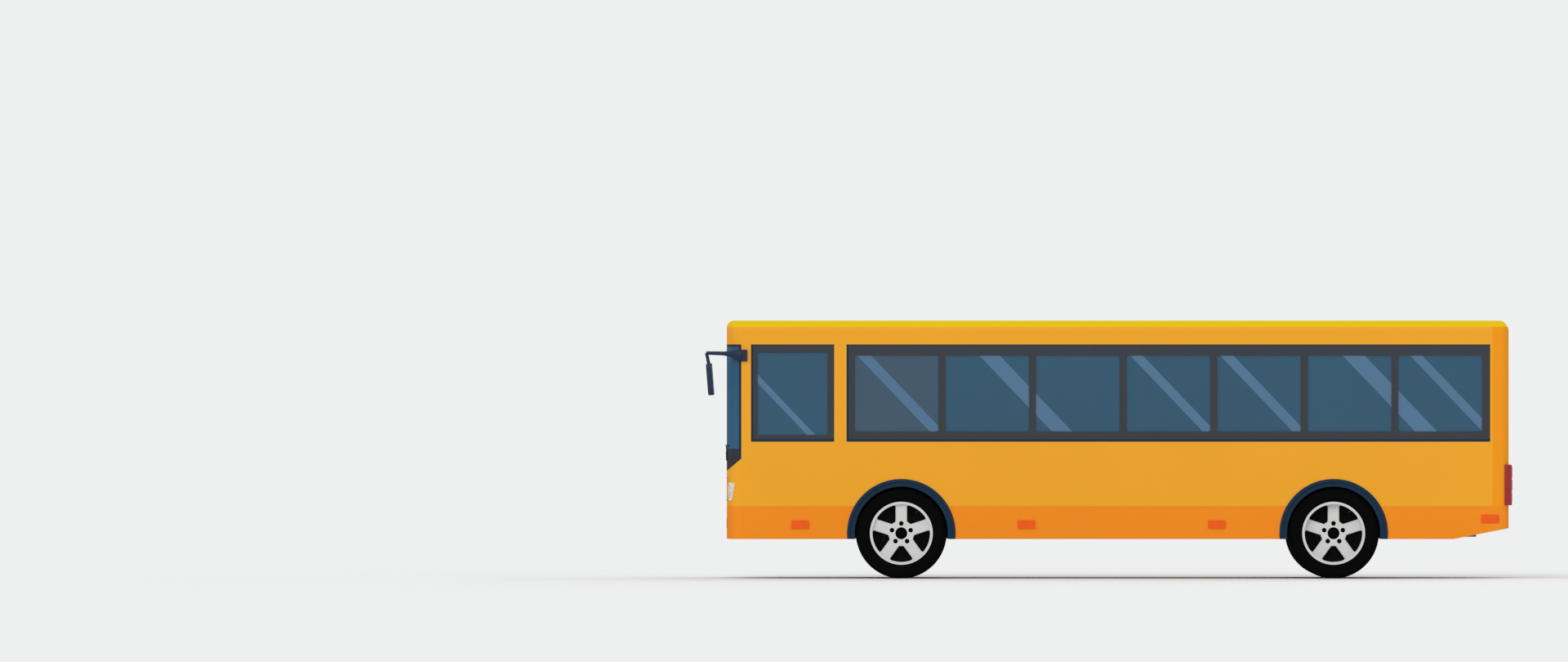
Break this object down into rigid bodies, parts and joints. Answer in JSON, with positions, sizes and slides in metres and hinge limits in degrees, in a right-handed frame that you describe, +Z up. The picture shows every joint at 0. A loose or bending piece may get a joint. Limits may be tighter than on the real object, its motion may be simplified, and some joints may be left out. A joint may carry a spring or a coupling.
{
  "type": "city bus",
  "caption": "Single-deck city bus, orange and yellow, with rear engine, twin rear tyres, steering front axle and inward-gliding double doors on the right.",
  "frame": {"origin": "on the ground below the middle of the overall length and width", "axes": "+X rearwards along the bus, +Y to its right side, +Z up; the bus faces -X"},
  "size_m": [9.3907, 2.84, 3],
  "materials": {
    "paint_amber": "satin",
    "paint_orange": "satin",
    "paint_yellow": "satin",
    "mask_black": "glossy",
    "frame_dark": "matte",
    "window_glass": "glossy",
    "screen_glass": "glossy",
    "lamp_clear": "glossy",
    "lamp_red": "glossy",
    "lamp_orange": "glossy",
    "trim_navy": "matte",
    "chassis_black": "matte",
    "axle_black": "matte",
    "engine_grey": "matte",
    "tank_grey": "satin",
    "wheel_silver": "satin",
    "tyre_black": "matte",
    "floor_grey": "matte",
    "step_metal": "satin",
    "housing_dark": "matte",
    "seat_blue": "satin",
    "driver_seat_fabric": "matte",
    "dash_grey": "matte",
    "grip_black": "satin",
    "pole_yellow": "glossy",
    "door_frame": "satin",
    "mirror_dark": "satin",
    "rubber_black": "matte"
  },
  "bodies": {
    "bus_body": {"arch_trims": "trim_navy", "bumpers": "paint_orange", "chassis_rails": "chassis_black", "cross_members": "chassis_black", "dashboard": "dash_grey", "destination_display": "grip_black", "driver_partition": "dash_grey", "driver_seat": "driver_seat_fabric", "engine_block": "engine_grey", "floor_boards": "floor_grey", "front_axle_beam": "axle_black", "front_panel": "paint_amber", "fuel_tank": "tank_grey", "grab_rails": "pole_yellow", "headlamps": "lamp_clear", "leaf_springs": "chassis_black", "mirrors": "mirror_dark", "passenger_seats": "seat_blue", "propshaft": "axle_black", "rear_axle": "axle_black", "rear_deck": "floor_grey", "rear_panel": "paint_amber", "roof_panel": "paint_yellow", "side_markers": "lamp_orange", "side_panels": "paint_amber", "skirt_panels": "paint_orange", "step_wells": "step_metal", "tail_lamps": "lamp_red", "wheel_housings": "housing_dark", "window_frames": "frame_dark", "window_glass": "window_glass", "windscreen": "screen_glass", "windscreen_surround": "mask_black", "wipers": "rubber_black"},
    "front_wheel_unit_left": {"front_wheel_left": "wheel_silver", "front_tyre_left": "tyre_black"},
    "rear_wheel_unit_left": {"rear_wheels_left": "wheel_silver", "rear_tyres_left": "tyre_black"},
    "steering_knuckle_left": {"knuckle_left": "axle_black"},
    "front_wheel_unit_right": {"front_wheel_right": "wheel_silver", "front_tyre_right": "tyre_black"},
    "rear_wheel_unit_right": {"rear_wheels_right": "wheel_silver", "rear_tyres_right": "tyre_black"},
    "steering_knuckle_right": {"knuckle_right": "axle_black"},
    "track_rod": {"tie_rod": "axle_black"},
    "steering_wheel_unit": {"steering_wheel": "grip_black"},
    "front_door_fore_arm_pair": {"front_door_fore_arms": "door_frame"},
    "front_door_fore": {"front_door_fore_leaf": "door_frame", "front_door_fore_glass": "window_glass"},
    "front_door_aft_arm_pair": {"front_door_aft_arms": "door_frame"},
    "front_door_aft": {"front_door_aft_leaf": "door_frame", "front_door_aft_glass": "window_glass"},
    "middle_door_fore_arm_pair": {"middle_door_fore_arms": "door_frame"},
    "middle_door_fore": {"middle_door_fore_leaf": "door_frame", "middle_door_fore_glass": "window_glass"},
    "middle_door_aft_arm_pair": {"middle_door_aft_arms": "door_frame"},
    "middle_door_aft": {"middle_door_aft_leaf": "door_frame", "middle_door_aft_glass": "window_glass"},
    "engine_lid": {"engine_hatch": "paint_amber"},
    "roof_lid": {"roof_hatch": "paint_yellow"}
  },
  "joints": [
    {"name": "steering_left", "type": "hinge", "parent": "bus_body", "child": "steering_knuckle_left", "pos_m": [-2.4085, -0.895, 0.527], "axis": [0, 0, 1], "range_deg": [-40, 40]},
    {"name": "front_wheel_spin_left", "type": "hinge", "parent": "steering_knuckle_left", "child": "front_wheel_unit_left", "pos_m": [-2.4085, -1.045, 0.527], "axis": [0, 1, 0], "continuous": true},
    {"name": "rear_wheel_spin_left", "type": "hinge", "parent": "bus_body", "child": "rear_wheel_unit_left", "pos_m": [2.6215, -1.045, 0.527], "axis": [0, 1, 0], "continuous": true},
    {"name": "steering_right", "type": "hinge", "parent": "bus_body", "child": "steering_knuckle_right", "pos_m": [-2.4085, 0.895, 0.527], "axis": [0, 0, 1], "range_deg": [-40, 40]},
    {"name": "front_wheel_spin_right", "type": "hinge", "parent": "steering_knuckle_right", "child": "front_wheel_unit_right", "pos_m": [-2.4085, 1.045, 0.527], "axis": [0, 1, 0], "continuous": true},
    {"name": "rear_wheel_spin_right", "type": "hinge", "parent": "bus_body", "child": "rear_wheel_unit_right", "pos_m": [2.6215, 1.045, 0.527], "axis": [0, 1, 0], "continuous": true},
    {"name": "track_rod_left_eye", "type": "hinge", "parent": "steering_knuckle_left", "child": "track_rod", "pos_m": [-2.2085, -0.895, 0.411], "axis": [0, 0, 1], "range_deg": [-40, 40]},
    {"name": "steering_wheel_turn", "type": "hinge", "parent": "bus_body", "child": "steering_wheel_unit", "pos_m": [-3.8315, -0.69, 1.58], "axis": [0.4695, 0, 0.8829], "range_deg": [-640, 640]},
    {"name": "front_door_fore_swing", "type": "hinge", "parent": "bus_body", "child": "front_door_fore_arm_pair", "pos_m": [-4.1055, 1.193, 1.515], "axis": [0, 0, -1], "range_deg": [0, 90]},
    {"name": "front_door_fore_pivot", "type": "hinge", "parent": "front_door_fore_arm_pair", "child": "front_door_fore", "pos_m": [-3.888, 1.193, 1.515], "axis": [0, 0, -1], "range_deg": [-180, 0]},
    {"name": "front_door_aft_swing", "type": "hinge", "parent": "bus_body", "child": "front_door_aft_arm_pair", "pos_m": [-3.1775, 1.193, 1.515], "axis": [0, 0, 1], "range_deg": [0, 90]},
    {"name": "front_door_aft_pivot", "type": "hinge", "parent": "front_door_aft_arm_pair", "child": "front_door_aft", "pos_m": [-3.395, 1.193, 1.515], "axis": [0, 0, 1], "range_deg": [-180, 0]},
    {"name": "middle_door_fore_swing", "type": "hinge", "parent": "bus_body", "child": "middle_door_fore_arm_pair", "pos_m": [-0.7055, 1.193, 1.515], "axis": [0, 0, -1], "range_deg": [0, 90]},
    {"name": "middle_door_fore_pivot", "type": "hinge", "parent": "middle_door_fore_arm_pair", "child": "middle_door_fore", "pos_m": [-0.4505, 1.193, 1.515], "axis": [0, 0, -1], "range_deg": [-180, 0]},
    {"name": "middle_door_aft_swing", "type": "hinge", "parent": "bus_body", "child": "middle_door_aft_arm_pair", "pos_m": [0.3725, 1.193, 1.515], "axis": [0, 0, 1], "range_deg": [0, 90]},
    {"name": "middle_door_aft_pivot", "type": "hinge", "parent": "middle_door_aft_arm_pair", "child": "middle_door_aft", "pos_m": [0.1175, 1.193, 1.515], "axis": [0, 0, 1], "range_deg": [-180, 0]},
    {"name": "engine_lid_hinge", "type": "hinge", "parent": "bus_body", "child": "engine_lid", "pos_m": [4.6585, 0, 1.474], "axis": [0, -1, 0], "range_deg": [0, 80]},
    {"name": "roof_lid_hinge", "type": "hinge", "parent": "bus_body", "child": "roof_lid", "pos_m": [0.7665, 0, 2.996], "axis": [0, -1, 0], "range_deg": [0, 60]}
  ],
  "couplings": [
    {"joint": "steering_right", "follows": "steering_left", "ratio": 1},
    {"joint": "track_rod_left_eye", "follows": "steering_left", "ratio": -1},
    {"joint": "steering_wheel_turn", "follows": "steering_left", "ratio": 16},
    {"joint": "front_door_fore_pivot", "follows": "front_door_fore_swing", "ratio": -2},
    {"joint": "front_door_aft_pivot", "follows": "front_door_aft_swing", "ratio": -2},
    {"joint": "middle_door_fore_pivot", "follows": "middle_door_fore_swing", "ratio": -2},
    {"joint": "middle_door_aft_pivot", "follows": "middle_door_aft_swing", "ratio": -2}
  ]
}
